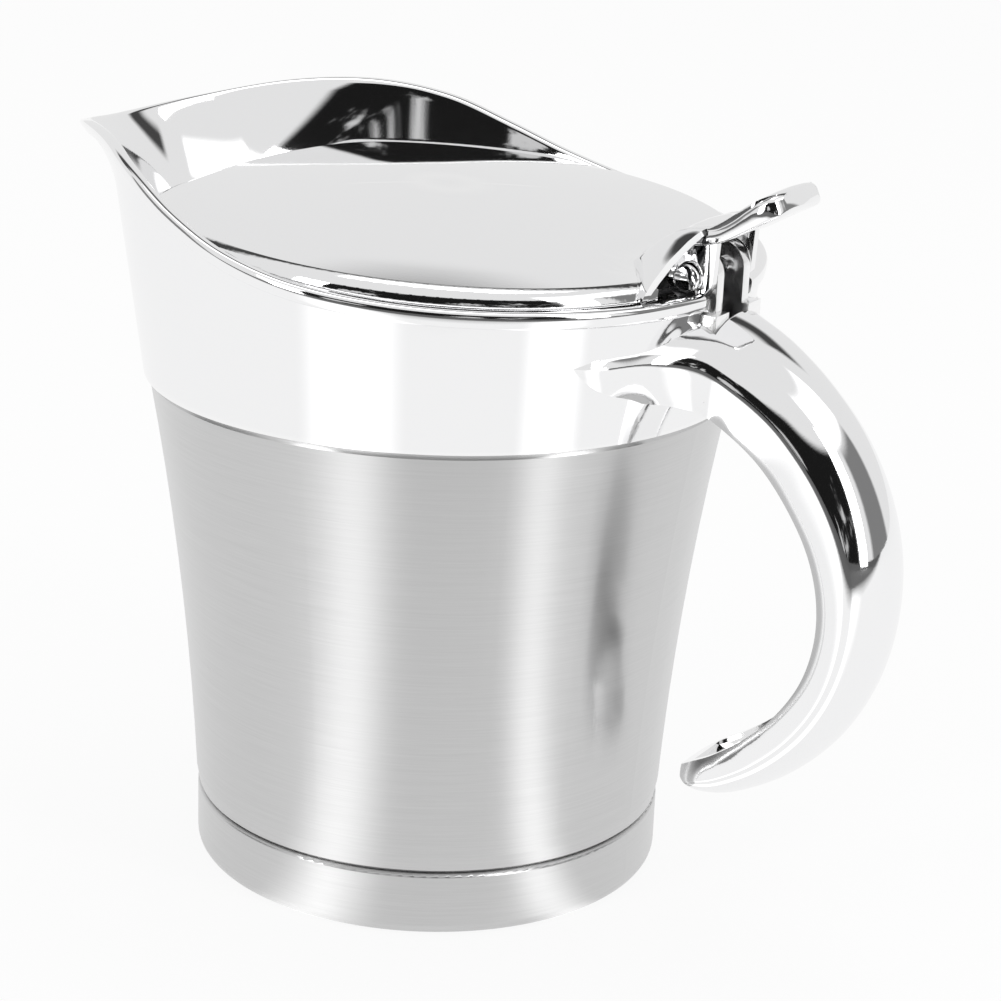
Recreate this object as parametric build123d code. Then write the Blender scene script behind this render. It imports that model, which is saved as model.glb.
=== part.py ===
"""A double-walled steel seasoning pot with a chromed pouring collar, a hooked handle and a hinged lid.

Frame in millimetres: +Z up, origin at the centre of the flat bottom, +X to the handle, -X to the spout.
The pot is symmetric about the plane Y = 0, apart from the hinge pin, whose solid head is on the -Y side.
"""

import math
import os

from build123d import *

# Steel body
BASE_RADIUS = 45.4
BASE_BAND_HEIGHT = 12.4
BASE_WALL = 1.0
BASE_EDGE_FILLET = 2.2
BASE_LIP_FILLET = 0.6
FOOT_GROOVE_RADIUS = 34.0
FOOT_GROOVE_WIDTH = 6.0
FOOT_GROOVE_DEPTH = 0.5
SHELL_WALL = 0.8
SHELL_WAIST_RADIUS = 45.7
SHELL_WAIST_Z = 16.0
SHELL_MIDDLE_RADIUS = 48.7
SHELL_MIDDLE_Z = 53.7
SHELL_TOP_RADIUS = 54.6
SHELL_STEP_Z = 13.2
SHELL_STEP_RADIUS = 45.2
SHELL_NECK_HEIGHT = 8.0
SHELL_NECK_INSET = 0.6
SHELL_NECK_TAPER = 1.2
VESSEL_WALL = 0.8
AIR_GAP = 4.6
VESSEL_FLOOR_Z = 6.0
VESSEL_FLOOR_FILLET = 7.0
FIT_CLEARANCE = 0.1

# Pouring collar
COLLAR_BOTTOM_Z = 96.0
COLLAR_BOTTOM_RADIUS = 55.7
COLLAR_FLARE = 0.137
COLLAR_WALL = 1.9
COLLAR_TOP_Z = 143.0
SPOUT_START_Z = 100.0
SPOUT_REACH = 14.0
SPOUT_REACH_HEIGHT = 36.0
SPOUT_CURVE = 2.6
SPOUT_NOSE_RADIUS = 32.0
BEAK_REACH = 10.5
BEAK_HALF_ANGLE = 7.0
LIP_HEIGHT = 3.0
LIP_PROUD = 0.7
NOSE_ANGLES = [75, 62, 50, 40, 30, 21, 14, 9, 4, 0]
COLLAR_SECTIONS = 9
SPOUT_INNER_BEAK = 0.25
GASKET_HEIGHT = 1.2

# Height of the rim along the pot, from the spout's tip to the hinge
RIM_LINE = [
    (-110, 122), (-96, 128), (-83, 133), (-70, 137.2), (-57, 140), (-44, 140.2), (-32, 137.4), (-20, 132.4),
    (-8, 127.9), (6, 124.6), (24, 122.6), (45, 121.4), (70, 120.4),
]

# Hinge
PIN_X = 55.0
PIN_Z = 123.5
PIN_RADIUS = 1.4
PIN_RUNNING_CLEARANCE = 0.06
PIN_HEAD_RADIUS = 2.5
PIN_HEAD_HEIGHT = 1.0
LUG_INNER = 3.8
LUG_WIDTH = 2.5
LUG_GAP = 0.3
LUG_RADIUS = 4.6
CHEEK_WIDTH = 2.1
BRACKET_FRONT_X = 52.0
BRACKET_BACK_X = 61.0
BRACKET_FLOOR_Z = 107.0
BRACKET_SHOULDER_Z = 117.4
SLOT_FLOOR_Z = 110.0
BRACKET_SCREW_X = 59.0
BRACKET_SCREW_SPACING = 9.0
BRACKET_SCREW_RADIUS = 1.1
BRACKET_SCREW_BITE = 2.6
SCREW_HEAD_RADIUS = 2.0
SCREW_HEAD_HEIGHT = 1.2
SCREW_CLEARANCE = 0.1
HANDLE_SCREW_Z = 103.5
HANDLE_SCREW_SPACING = 22.0
HANDLE_SCREW_RADIUS = 1.2
HANDLE_SCREW_START_X = 53.4
HANDLE_SCREW_LENGTH = 8.0

# Lid
LID_TILT = 3.3
LID_RADIUS = 56.0
LID_FRONT_X = -43.0
LID_FRONT_CORNER_RADIUS = 20.0
LID_BACK_X = 45.2
LID_BACK_CORNER_RADIUS = 10.0
NOTCH_FRONT_HALF_WIDTH = 9.5
NOTCH_MOUTH_X = 52.0
NOTCH_MOUTH_HALF_WIDTH = 21.0
LID_CROWN_RADIUS = 300.0
LID_SKIRT_Z = 117.4
LID_RIM_HEIGHT = 5.6
LID_WALL = 1.4
LID_SHOULDER_FILLET = 3.0
LINER_THICKNESS = 1.2
LINER_DISH_INSET = 7.0
LINER_DISH_DEPTH = 3.0
LINER_DISH_FILLET = 2.0
SEAT_WIDTH = 5.0
SEAT_THICKNESS = 1.8
SEAT_GAP = 0.2
SEAT_RING_CLEARANCE = 0.3
SEAT_WALL = 1.5
SPOUT_WINDOW_HALF_WIDTH = 27.0
SPOUT_WINDOW_FLOOR_Z = 107.5

# Thumb lever, drawn level like the lid
TONGUE_TOP_Z = 121.9
TONGUE_THICKNESS = 1.8
TONGUE_HALF_WIDTH = 7.5
TONGUE_LENGTH = 11.0
HOOD_TOP = [
    (48.4, 126.6), (50.2, 129.7), (53.4, 131.9), (58.2, 133.3), (61.0, 135.0), (63.8, 137.4), (68.8, 140.6),
]
HOOD_UNDER = [(70.0, 137.8), (65.6, 134.3), (60.8, 131.1), (56.2, 129.0), (51.8, 125.8), (47.8, 120.6)]
HOOD_FOOT_Z = 119.0
HOOD_FRONT_Z = 123.0
HOOD_RELIEF_GAP = 0.4
BRACKET_GAP = 2.0
FOOT_WIDTH = 4.3
PAD_CORNER_RADIUS = 5.0
CHEEK_OUTLINE = [(51.2, 125.0), (54.0, 128.2), (59.6, 130.6), (59.6, 123.0), (57.9, 120.6)]
CHEEK_ROUND_RADIUS = 4.1
CHEEK_RECESS = 0.4
LEVER_SCREW_X = 38.0
LEVER_SCREW_SPACING = 9.0
LEVER_SCREW_RADIUS = 1.0
LEVER_BOSS_RADIUS = 2.4

# Handle: each station is (outer x, outer z, inner x, inner z, half width)
HANDLE_STATIONS = [
    (44.0, 116.4, 46.0, 106.4, 35.2),
    (50.0, 117.6, 50.0, 104.2, 31.0),
    (56.5, 117.6, 55.0, 102.4, 20.0),
    (63.0, 115.9, 60.0, 100.6, 13.8),
    (70.0, 112.4, 65.6, 97.4, 12.4),
    (78.0, 106.4, 71.4, 92.6, 11.3),
    (85.6, 98.2, 76.8, 86.2, 11.0),
    (91.2, 88.2, 81.2, 78.8, 10.8),
    (94.4, 77.0, 83.6, 70.8, 10.6),
    (94.7, 65.0, 83.8, 62.6, 10.4),
    (92.2, 53.4, 81.6, 54.2, 10.2),
    (86.8, 42.8, 76.8, 46.4, 10.0),
    (78.6, 34.0, 70.8, 40.3, 9.6),
    (69.0, 28.0, 65.2, 36.0, 9.0),
    (62.2, 26.2, 60.8, 33.4, 8.0),
    (58.8, 27.0, 58.2, 31.6, 5.8),
    (57.2, 28.2, 57.0, 30.6, 3.0),
]
HANDLE_FLAT_SHARE = 0.82
HANDLE_CREASE_SHARE = 0.56
HANDLE_WALL = 2.4
CHANNEL_FIRST = 4
CHANNEL_LAST = 14
CHANNEL_ROOF_SHARE = 0.7
COVER_THICKNESS = 1.6
COVER_RECESS = 0.7
COVER_CLEARANCE = 0.15

LUG_OUTER = LUG_INNER + LUG_WIDTH
CHEEK_INNER = LUG_OUTER + LUG_GAP
CHEEK_OUTER = CHEEK_INNER + CHEEK_WIDTH
SHELL_TOP_Z = COLLAR_BOTTOM_Z - SHELL_NECK_TAPER
NECK_RADIUS = SHELL_TOP_RADIUS - SHELL_NECK_INSET
NECK_TOP_Z = COLLAR_BOTTOM_Z + SHELL_NECK_HEIGHT
THROAT_Z = NECK_TOP_Z - 1.0
VESSEL_LIP_Z = NECK_TOP_Z + VESSEL_WALL
GASKET_TOP_Z = VESSEL_LIP_Z + GASKET_HEIGHT
FAR = 400.0


def xz_face(points):
    """A face in the plane Y = 0 from (x, z) corners."""
    return Plane.XZ * make_face(Polyline(points, close=True))


def revolve_profile(*edges):
    """A solid of revolution about Z from edges drawn as (radius, height)."""
    return revolve(Plane.XZ * make_face(Curve() + list(edges)), Axis.Z)


def block(x0, x1, y0, y1, z0, z1):
    """A box between two corners."""
    centre = ((x0 + x1) / 2, (y0 + y1) / 2, (z0 + z1) / 2)
    return Pos(*centre) * Box(x1 - x0, y1 - y0, z1 - z0)


def along_y(x, z, radius, y0, y1):
    """A round bar parallel to Y."""
    return Pos(x, (y0 + y1) / 2, z) * Rot(90, 0, 0) * Cylinder(radius, y1 - y0)


def tilt_lid(shape):
    """Turns a piece drawn level about the hinge pin to the lid's resting slope, front end up."""
    pivot = Pos(PIN_X, 0, PIN_Z)
    return pivot * Rot(0, LID_TILT, 0) * pivot.inverse() * shape


def collar_radius(z):
    """Outer radius of the collar's cone at a height."""
    return COLLAR_BOTTOM_RADIUS + COLLAR_FLARE * (z - COLLAR_BOTTOM_Z)


def spout_share(z):
    """How far the spout has grown at a height: 0 at its root, 1 at its full reach."""
    return max(0.0, (z - SPOUT_START_Z) / SPOUT_REACH_HEIGHT)


def collar_outline(z, inset, beak_share):
    """Closed outline of the collar at a height: a ring joined by its tangents to a nose with a small beak."""
    share = spout_share(z)
    ring = collar_radius(z) - inset
    nose_radius = SPOUT_NOSE_RADIUS - inset
    centre = ring + SPOUT_REACH * share ** SPOUT_CURVE - nose_radius
    touch = math.acos(min(1.0, (ring - nose_radius) / centre))
    nose_touch = math.atan2(nose_radius * math.sin(touch), centre + nose_radius * math.cos(touch))

    def nose_point(degrees):
        off_nose = math.radians(degrees)
        if off_nose >= touch:
            radius = ring
        elif off_nose >= nose_touch:
            radius = ring / math.cos(touch - off_nose)
        else:
            radius = centre * math.cos(off_nose) + math.sqrt(
                nose_radius ** 2 - (centre * math.sin(off_nose)) ** 2
            )
        bump = math.exp(-((degrees / BEAK_HALF_ANGLE) ** 2))
        radius += BEAK_REACH * beak_share * min(1.5, share ** 6) * bump
        return (-radius * math.cos(off_nose), radius * math.sin(off_nose), z)

    left = [nose_point(degrees) for degrees in NOSE_ANGLES]
    right = [(x, -y, z) for x, y, z in reversed(left)]
    start = math.radians(NOSE_ANGLES[0])
    leaving = (-math.sin(start), -math.cos(start), 0)
    half_angle = (math.pi - start) / 2
    side = (ring * math.cos(half_angle), ring * math.sin(half_angle), z)
    return Wire(
        [
            ThreePointArc((ring, 0, z), side, left[0]),
            Spline(left, tangents=[leaving, (0, -1, 0)]),
            Spline(right, tangents=[(0, -1, 0), (-leaving[0], leaving[1], 0)]),
            ThreePointArc(right[-1], (side[0], -side[1], z), (ring, 0, z)),
        ]
    )


def collar_body(inset=0.0, beak_share=1.0, bottom=COLLAR_BOTTOM_Z):
    """The solid inside the collar's outer surface, or inside a surface parallel to it."""
    heights = [
        bottom + (COLLAR_TOP_Z - bottom) * step / (COLLAR_SECTIONS - 1) for step in range(COLLAR_SECTIONS)
    ]
    return Solid.make_loft([collar_outline(z, inset, beak_share) for z in heights])


def above_rim(drop=0.0):
    """Everything above the swooping rim line, lowered by a drop."""
    line = Spline([(x, z - drop) for x, z in RIM_LINE])
    first, last = RIM_LINE[0], RIM_LINE[-1]
    frame = Polyline(
        (last[0], last[1] - drop), (last[0], FAR), (first[0], FAR), (first[0], first[1] - drop)
    )
    return extrude(Plane.XZ * make_face(Curve() + [line, frame]), FAR / 2, both=True)


def shell_arc(inset):
    """The long flare of the steel wall, moved inwards."""
    return ThreePointArc(
        (SHELL_WAIST_RADIUS - inset, SHELL_WAIST_Z),
        (SHELL_MIDDLE_RADIUS - inset, SHELL_MIDDLE_Z),
        (SHELL_TOP_RADIUS - inset, SHELL_TOP_Z),
    )


def make_base_cup():
    """The pressed bottom pan, whose upright band shows as the foot."""
    cup = Pos(0, 0, BASE_BAND_HEIGHT / 2) * Cylinder(BASE_RADIUS, BASE_BAND_HEIGHT)
    inner_height = BASE_BAND_HEIGHT - BASE_WALL
    inside = Pos(0, 0, BASE_WALL + inner_height / 2) * Cylinder(BASE_RADIUS - BASE_WALL, inner_height)
    cup = fillet(cup.edges().group_by(Axis.Z)[0], BASE_EDGE_FILLET)
    cup = fillet(cup.edges().group_by(Axis.Z)[-1], BASE_LIP_FILLET)
    inside = fillet(inside.edges().group_by(Axis.Z)[0], BASE_EDGE_FILLET - BASE_WALL)
    groove = Pos(0, 0, FOOT_GROOVE_DEPTH / 2) * (
        Cylinder(FOOT_GROOVE_RADIUS, FOOT_GROOVE_DEPTH)
        - Cylinder(FOOT_GROOVE_RADIUS - FOOT_GROOVE_WIDTH, FOOT_GROOVE_DEPTH)
    )
    return cup - inside - groove


def make_outer_shell():
    """The brushed outer wall: it stands in the base cup, flares to the collar and necks in under it."""
    foot_radius = BASE_RADIUS - BASE_WALL - FIT_CLEARANCE
    foot_z = BASE_WALL + BASE_EDGE_FILLET

    def wall_line(inset):
        return [
            Line((foot_radius - inset, foot_z), (foot_radius - inset, BASE_BAND_HEIGHT)),
            Line((foot_radius - inset, BASE_BAND_HEIGHT), (SHELL_STEP_RADIUS - inset, SHELL_STEP_Z)),
            Line((SHELL_STEP_RADIUS - inset, SHELL_STEP_Z), (SHELL_WAIST_RADIUS - inset, SHELL_WAIST_Z)),
            shell_arc(inset),
            Line((SHELL_TOP_RADIUS - inset, SHELL_TOP_Z), (NECK_RADIUS - inset, COLLAR_BOTTOM_Z)),
            Line((NECK_RADIUS - inset, COLLAR_BOTTOM_Z), (NECK_RADIUS - inset, NECK_TOP_Z)),
        ]

    ends = [
        Line((foot_radius, foot_z), (foot_radius - SHELL_WALL, foot_z)),
        Line((NECK_RADIUS, NECK_TOP_Z), (NECK_RADIUS - SHELL_WALL, NECK_TOP_Z)),
    ]
    return revolve_profile(*wall_line(0), *wall_line(SHELL_WALL), *ends)


def make_inner_vessel():
    """The food cup: an air gap inside the outer wall, closed over it by a turned-out lip."""
    throat_radius = NECK_RADIUS - SHELL_WALL - FIT_CLEARANCE

    def cup(inset, floor):
        gap = SHELL_WALL + AIR_GAP + inset
        wall = shell_arc(gap)
        bottom_radius = (wall @ 0).X
        top_radius = (wall @ 1).X
        throat = throat_radius - inset
        solid = revolve_profile(
            Line((0, floor), (bottom_radius, floor)),
            Line((bottom_radius, floor), (bottom_radius, SHELL_WAIST_Z)),
            wall,
            Line((top_radius, SHELL_TOP_Z), (throat, THROAT_Z)),
            Line((throat, THROAT_Z), (throat, VESSEL_LIP_Z)),
            Line((throat, VESSEL_LIP_Z), (0, VESSEL_LIP_Z)),
            Line((0, VESSEL_LIP_Z), (0, floor)),
        )
        return fillet(solid.edges().group_by(Axis.Z)[0], VESSEL_FLOOR_FILLET - inset)

    lip = Pos(0, 0, NECK_TOP_Z + VESSEL_WALL / 2) * Cylinder(NECK_RADIUS, VESSEL_WALL)
    return cup(0, VESSEL_FLOOR_Z) + lip - cup(VESSEL_WALL, VESSEL_FLOOR_Z + VESSEL_WALL)


def make_rim_gasket():
    """The soft ring between the steel lip and the seat ring."""
    middle = Pos(0, 0, VESSEL_LIP_Z + GASKET_HEIGHT / 2)
    return middle * (Cylinder(NECK_RADIUS, GASKET_HEIGHT) - Cylinder(NECK_RADIUS - SEAT_WALL, GASKET_HEIGHT))


def bracket_window():
    """The gap in the collar, seat ring and handle root that the hinge bracket stands in."""
    half = CHEEK_OUTER + FIT_CLEARANCE
    front, back = BRACKET_FRONT_X - FIT_CLEARANCE, BRACKET_BACK_X + FIT_CLEARANCE
    return block(front, back, -half, half, BRACKET_FLOOR_Z, FAR)


def make_spout_collar():
    """The chromed collar: a flared wall drawn out to a spout, with a proud lip along its swooping rim."""
    below_lip = block(-FAR, FAR, -FAR, FAR, 0, FAR) - above_rim(LIP_HEIGHT) - collar_body()
    wall = collar_body(-LIP_PROUD) - above_rim() - below_lip - collar_body(COLLAR_WALL, SPOUT_INNER_BEAK)
    bore_height = GASKET_TOP_Z + SEAT_WALL - COLLAR_BOTTOM_Z
    bore = Pos(0, 0, COLLAR_BOTTOM_Z + bore_height / 2) * Cylinder(NECK_RADIUS + FIT_CLEARANCE, bore_height)
    collar = wall - bore - bracket_window()
    for side in (-1, 1):
        collar -= handle_screw(side, SCREW_CLEARANCE)
    return collar


def lid_outline(inset):
    """The lid's plan: a disc with its front cut off straight, the two corners rounded."""
    plan = Circle(LID_RADIUS - inset) & Pos(LID_FRONT_X + inset + FAR / 2, 0) * Rectangle(FAR, FAR)
    return fillet(plan.vertices().filter_by(lambda corner: corner.X < 0), LID_FRONT_CORNER_RADIUS - inset)


def dish_outline(inset):
    """The plan of the dish under the lid, whose back is cut off straight in front of the lever."""
    plan = lid_outline(inset) & Pos(LID_BACK_X - inset - FAR / 2, 0) * Rectangle(FAR, FAR)
    return fillet(plan.vertices().group_by(Axis.X)[-1], LID_BACK_CORNER_RADIUS - inset)


def lever_notch(margin=0.0):
    """The flared notch in the lid's back edge, which the lever's foot fills."""
    front, mouth = NOTCH_FRONT_HALF_WIDTH, NOTCH_MOUTH_HALF_WIDTH
    flare = (mouth - front) / (NOTCH_MOUTH_X - LID_BACK_X)
    back_x = LID_RADIUS + 2 * LID_WALL
    back = mouth + flare * (back_x - NOTCH_MOUTH_X)
    corners = [(LID_BACK_X, -front), (back_x, -back), (back_x, back), (LID_BACK_X, front)]
    plan = make_face(Polyline(corners, close=True))
    if margin:
        plan = offset(plan, margin, kind=Kind.INTERSECTION)
    return Pos(0, 0, LID_SKIRT_Z - LID_RIM_HEIGHT) * extrude(plan, 4 * LID_RIM_HEIGHT)


def lid_disc(inset):
    """The lid's plan raised to its crowned top, with a round shoulder and no notch."""
    drop = LID_CROWN_RADIUS - math.sqrt(LID_CROWN_RADIUS ** 2 - LID_RADIUS ** 2)
    centre_z = LID_SKIRT_Z + LID_RIM_HEIGHT + drop - LID_CROWN_RADIUS
    crown = Pos(0, 0, centre_z) * Sphere(LID_CROWN_RADIUS - inset)
    disc = Pos(0, 0, LID_SKIRT_Z) * extrude(lid_outline(inset), 4 * LID_RIM_HEIGHT) & crown
    shoulder = disc.edges().filter_by(lambda edge: min(end.Z for end in edge.vertices()) > LID_SKIRT_Z + 1)
    return fillet(shoulder, LID_SHOULDER_FILLET - inset)


def tongue(clearance=0.0):
    """The lever's flat tongue, which enters the lid through its back wall."""
    half = TONGUE_HALF_WIDTH + clearance
    bottom = TONGUE_TOP_Z - TONGUE_THICKNESS - clearance
    return block(LID_BACK_X - TONGUE_LENGTH, LID_BACK_X, -half, half, bottom, TONGUE_TOP_Z + clearance)


def lever_screw(side, clearance=0.0):
    """One upward screw through the tongue into the lid."""
    y = side * LEVER_SCREW_SPACING / 2
    seat = TONGUE_TOP_Z - TONGUE_THICKNESS
    tip = TONGUE_TOP_Z + 2 * LEVER_SCREW_RADIUS
    shank = Pos(LEVER_SCREW_X, y, (seat + tip) / 2) * Cylinder(LEVER_SCREW_RADIUS + clearance, tip - seat)
    head_middle = Pos(LEVER_SCREW_X, y, seat - SCREW_HEAD_HEIGHT / 2)
    return shank + head_middle * Cylinder(SCREW_HEAD_RADIUS, SCREW_HEAD_HEIGHT)


def make_lid_top():
    """The domed lid cover: a thin shell with two bosses for the lever's screws and a slot for its tongue."""
    solid = lid_disc(0) - lever_notch()
    shell = solid - (lid_disc(LID_WALL) - lever_notch(LID_WALL))
    for side in (-1, 1):
        y = side * LEVER_SCREW_SPACING / 2
        boss_middle = Pos(LEVER_SCREW_X, y, TONGUE_TOP_Z + LID_RIM_HEIGHT / 2)
        boss = boss_middle * Cylinder(LEVER_BOSS_RADIUS, LID_RIM_HEIGHT)
        shell = shell + (boss & solid) - lever_screw(side)
    return tilt_lid(shell - tongue(SCREW_CLEARANCE))


def make_lid_liner():
    """The dished plate that closes the lid from below."""
    inset = LID_WALL + FIT_CLEARANCE
    plate = Pos(0, 0, LID_SKIRT_Z) * extrude(lid_outline(inset), LINER_THICKNESS) - lever_notch(inset)
    dish_z = LID_SKIRT_Z - LINER_DISH_DEPTH
    dish = Pos(0, 0, dish_z) * extrude(dish_outline(LINER_DISH_INSET), LINER_DISH_DEPTH)
    dish = fillet(dish.faces().sort_by(Axis.Z)[0].edges(), LINER_DISH_FILLET)
    pocket = Pos(0, 0, dish_z + LINER_THICKNESS) * extrude(
        dish_outline(LINER_DISH_INSET + LINER_THICKNESS), LINER_DISH_DEPTH
    )
    pocket = fillet(pocket.faces().sort_by(Axis.Z)[0].edges(), LINER_DISH_FILLET - LINER_THICKNESS)
    return tilt_lid(plate + dish - pocket)


def make_thumb_lever():
    """The lever: a hood over the hinge with a thumb pad, two cheeks on the pin and a tongue into the lid."""
    top, under = Spline(HOOD_TOP), Spline(HOOD_UNDER)
    foot_back = (HOOD_UNDER[-1][0], HOOD_FOOT_Z)
    foot_front = (LID_BACK_X, HOOD_FOOT_Z)
    profile = Curve() + [
        top, Line(HOOD_TOP[-1], HOOD_UNDER[0]), under, Line(HOOD_UNDER[-1], foot_back),
        Line(foot_back, foot_front), Line(foot_front, (LID_BACK_X, HOOD_FRONT_Z)),
        Line((LID_BACK_X, HOOD_FRONT_Z), HOOD_TOP[0]),
    ]
    hood = extrude(Plane.XZ * make_face(profile), CHEEK_OUTER, both=True)
    pad_end = HOOD_UNDER[0][0]
    plan = Pos((LID_BACK_X + pad_end) / 2, 0) * Rectangle(pad_end - LID_BACK_X, 2 * CHEEK_OUTER)
    plan = fillet(plan.vertices().group_by(Axis.X)[-1], PAD_CORNER_RADIUS)
    hood = hood & Pos(0, 0, LID_SKIRT_Z) * extrude(plan, 2 * LID_CROWN_RADIUS)
    hood -= along_y(PIN_X, PIN_Z, LUG_RADIUS + HOOD_RELIEF_GAP, -CHEEK_INNER, CHEEK_INNER)
    cheek_face = make_face(Polyline(CHEEK_OUTLINE, close=True))
    cheek_face += Pos(PIN_X, PIN_Z) * Circle(CHEEK_ROUND_RADIUS)
    bracket_gap = block(BRACKET_FRONT_X - BRACKET_GAP, FAR, -CHEEK_OUTER, CHEEK_OUTER, 0, FAR)
    foot = (lid_disc(0) & lever_notch()) - Pos(FOOT_WIDTH, 0, 0) * lever_notch() - bracket_gap
    lever = hood + foot
    for side in (-1, 1):
        cheek = extrude(Plane.XZ * cheek_face, CHEEK_WIDTH - CHEEK_RECESS)
        inner = CHEEK_INNER if side > 0 else -CHEEK_OUTER + CHEEK_RECESS
        lever += Pos(0, inner + CHEEK_WIDTH - CHEEK_RECESS, 0) * cheek
    lever += tongue()
    for side in (-1, 1):
        lever -= lever_screw(side, SCREW_CLEARANCE)
    return tilt_lid(lever - along_y(PIN_X, PIN_Z, PIN_RADIUS, -CHEEK_OUTER, CHEEK_OUTER))


def cone_body(inset, bottom, top):
    """The solid inside the collar's cone, without the spout."""
    low, high = collar_radius(bottom) - inset, collar_radius(top) - inset
    return revolve(xz_face([(0, bottom), (low, bottom), (high, top), (0, top)]), Axis.Z)


def make_lid_seat_ring():
    """The ring inside the collar: it presses on the gasket and carries the lid's ledge, open at the spout."""
    inset = COLLAR_WALL + SEAT_RING_CLEARANCE
    bottom, seat_z = GASKET_TOP_Z + SEAT_WALL, LID_SKIRT_Z - SEAT_GAP
    cavity = cone_body(inset, bottom, COLLAR_TOP_Z)
    below_lid = tilt_lid(block(-FAR, FAR, -FAR, FAR, 0, seat_z))
    wall = (cavity - cone_body(inset + SEAT_WALL, bottom, COLLAR_TOP_Z)) & below_lid
    ledge = Cylinder(FAR / 2, SEAT_THICKNESS) - Cylinder(LID_RADIUS - SEAT_WIDTH, SEAT_THICKNESS)
    ledge = tilt_lid(Pos(0, 0, seat_z - SEAT_THICKNESS / 2) * ledge) & cavity
    foot_middle = Pos(0, 0, GASKET_TOP_Z + SEAT_WALL / 2)
    foot = foot_middle * (Cylinder(NECK_RADIUS, SEAT_WALL) - Cylinder(NECK_RADIUS - SEAT_WALL, SEAT_WALL))
    window = block(
        -FAR, 0, -SPOUT_WINDOW_HALF_WIDTH, SPOUT_WINDOW_HALF_WIDTH, SPOUT_WINDOW_FLOOR_Z, FAR
    )
    return wall + ledge + foot - window - bracket_window()


def handle_plane(station):
    """The plane of one handle section: its x runs along Y, its y from the inner face to the outer face."""
    outer_x, outer_z, inner_x, inner_z, _ = station
    outwards = Vector(outer_x - inner_x, 0, outer_z - inner_z)
    return Plane(
        origin=(inner_x, 0, inner_z), x_dir=(0, 1, 0), z_dir=Vector(0, 1, 0).cross(outwards.normalized())
    )


def station_depth(station):
    """Distance from the inner face to the outer face of one handle section."""
    outer_x, outer_z, inner_x, inner_z, _ = station
    return math.hypot(outer_x - inner_x, outer_z - inner_z)


def handle_section(station):
    """A section of the handle: flat inside, crowned outside, with a crease along each side."""
    depth = station_depth(station)
    half_width = station[4]
    flat = HANDLE_FLAT_SHARE * half_width
    crease = HANDLE_CREASE_SHARE * depth
    flank = ((flat + 2 * half_width) / 3, crease / 2)
    outline = [
        Line((-flat, 0), (flat, 0)),
        ThreePointArc((flat, 0), flank, (half_width, crease)),
        ThreePointArc((half_width, crease), (0, depth), (-half_width, crease)),
        ThreePointArc((-half_width, crease), (-flank[0], flank[1]), (-flat, 0)),
    ]
    return handle_plane(station) * Wire(outline)


def channel_half_width(station):
    """Half width of the hollow at the mouth of the handle's channel."""
    return station[4] - HANDLE_WALL


def channel_section(station):
    """Section of the hollow, open through the inner face."""
    roof = station_depth(station) - HANDLE_WALL
    mouth = channel_half_width(station)
    roof_half = CHANNEL_ROOF_SHARE * mouth
    corners = [(-mouth, -HANDLE_WALL), (mouth, -HANDLE_WALL), (roof_half, roof), (-roof_half, roof)]
    return handle_plane(station) * Wire([*Polyline(corners, close=True).edges()])


def cover_section(station):
    """Section of the strip that closes the channel, a little below the handle's inner face."""
    top = COVER_RECESS + COVER_THICKNESS
    half = channel_half_width(station) - COVER_CLEARANCE
    roof = station_depth(station) - HANDLE_WALL
    slope = (1 - CHANNEL_ROOF_SHARE) * channel_half_width(station) / (roof + HANDLE_WALL)
    low_half = half - slope * (COVER_RECESS + HANDLE_WALL)
    high_half = half - slope * (top + HANDLE_WALL)
    corners = [(-low_half, COVER_RECESS), (low_half, COVER_RECESS), (high_half, top), (-high_half, top)]
    return handle_plane(station) * Wire([*Polyline(corners, close=True).edges()])


def bracket_screw(side, clearance=0.0):
    """One upward screw through the handle's root into the bracket."""
    y = side * BRACKET_SCREW_SPACING / 2
    head_top = BRACKET_FLOOR_Z - 2 * SCREW_HEAD_HEIGHT
    tip = BRACKET_FLOOR_Z + BRACKET_SCREW_BITE
    shank_middle = Pos(BRACKET_SCREW_X, y, (head_top + tip) / 2)
    shank = shank_middle * Cylinder(BRACKET_SCREW_RADIUS + clearance, tip - head_top)
    head = Pos(BRACKET_SCREW_X, y, head_top - SCREW_HEAD_HEIGHT / 2) * Cylinder(
        SCREW_HEAD_RADIUS + clearance, SCREW_HEAD_HEIGHT
    )
    return shank + head


def bracket_screw_access(side):
    """The hole from below that lets a bracket screw in."""
    y = side * BRACKET_SCREW_SPACING / 2
    head_top = BRACKET_FLOOR_Z - 2 * SCREW_HEAD_HEIGHT
    height = head_top - COLLAR_BOTTOM_Z
    middle = Pos(BRACKET_SCREW_X, y, head_top - height / 2)
    return middle * Cylinder(SCREW_HEAD_RADIUS + SCREW_CLEARANCE, height)


def along_x(x0, x1, y, z, radius):
    """A round bar parallel to X."""
    return Pos((x0 + x1) / 2, y, z) * Rot(0, 90, 0) * Cylinder(radius, x1 - x0)


def handle_screw(side, clearance=0.0):
    """One screw from inside the collar into the handle's root."""
    y = side * HANDLE_SCREW_SPACING / 2
    seat = HANDLE_SCREW_START_X + SCREW_HEAD_HEIGHT
    head = along_x(HANDLE_SCREW_START_X - clearance, seat, y, HANDLE_SCREW_Z, SCREW_HEAD_RADIUS + clearance)
    tip = HANDLE_SCREW_START_X + HANDLE_SCREW_LENGTH
    return head + along_x(seat, tip, y, HANDLE_SCREW_Z, HANDLE_SCREW_RADIUS + clearance)


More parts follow.
